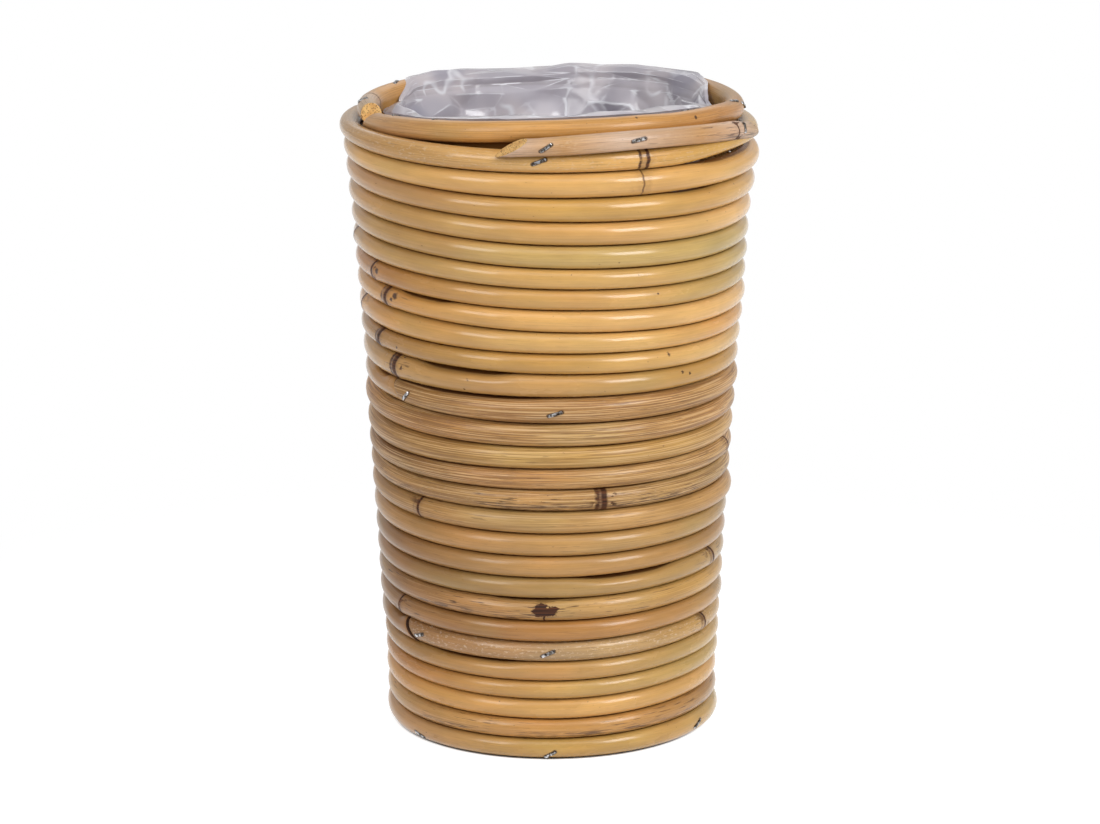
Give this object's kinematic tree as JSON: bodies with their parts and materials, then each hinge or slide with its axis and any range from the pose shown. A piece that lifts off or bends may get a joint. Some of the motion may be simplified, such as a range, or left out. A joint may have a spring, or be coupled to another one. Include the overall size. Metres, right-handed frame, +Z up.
{
  "type": "vase",
  "caption": "Flared round vase wound from thick cane on inner stakes, with a rim hoop, a base disc and a stapled film liner.",
  "frame": {"origin": "middle of the base disc's underside, on the surface that the vase stands on", "axes": "+Z up along the vase's axis, -Y towards the front that the picture shows"},
  "size_m": [0.185, 0.1882, 0.293],
  "materials": {
    "cane_foot": "glossy lacquer over natural skin",
    "cane_lower": "glossy lacquer over natural skin",
    "cane_middle": "satin, streaked",
    "cane_upper": "glossy lacquer over natural skin",
    "cane_top": "glossy lacquer over natural skin",
    "cane_hoop": "glossy lacquer over natural skin",
    "cane_finishing": "satin",
    "split_cane": "raw",
    "plywood": "raw",
    "film": "clear, crumpled film",
    "steel_wire": "bright"
  },
  "bodies": {
    "vase": {"wall_cane_foot": "cane_foot", "wall_cane_lower": "cane_lower", "wall_cane_middle": "cane_middle", "wall_cane_upper": "cane_upper", "wall_cane_top": "cane_top", "rim_hoop": "cane_hoop", "finishing_cane": "cane_finishing", "stake_front": "split_cane", "stake_front_right": "split_cane", "stake_back_right": "split_cane", "stake_back": "split_cane", "stake_back_left": "split_cane", "stake_front_left": "split_cane", "base_disc": "plywood", "film_liner": "film", "foot_staples": "steel_wire", "joint_staples": "steel_wire", "finishing_staples": "steel_wire", "rim_staples": "steel_wire", "stake_staples": "steel_wire", "disc_brads": "steel_wire"}
  },
  "joints": []
}
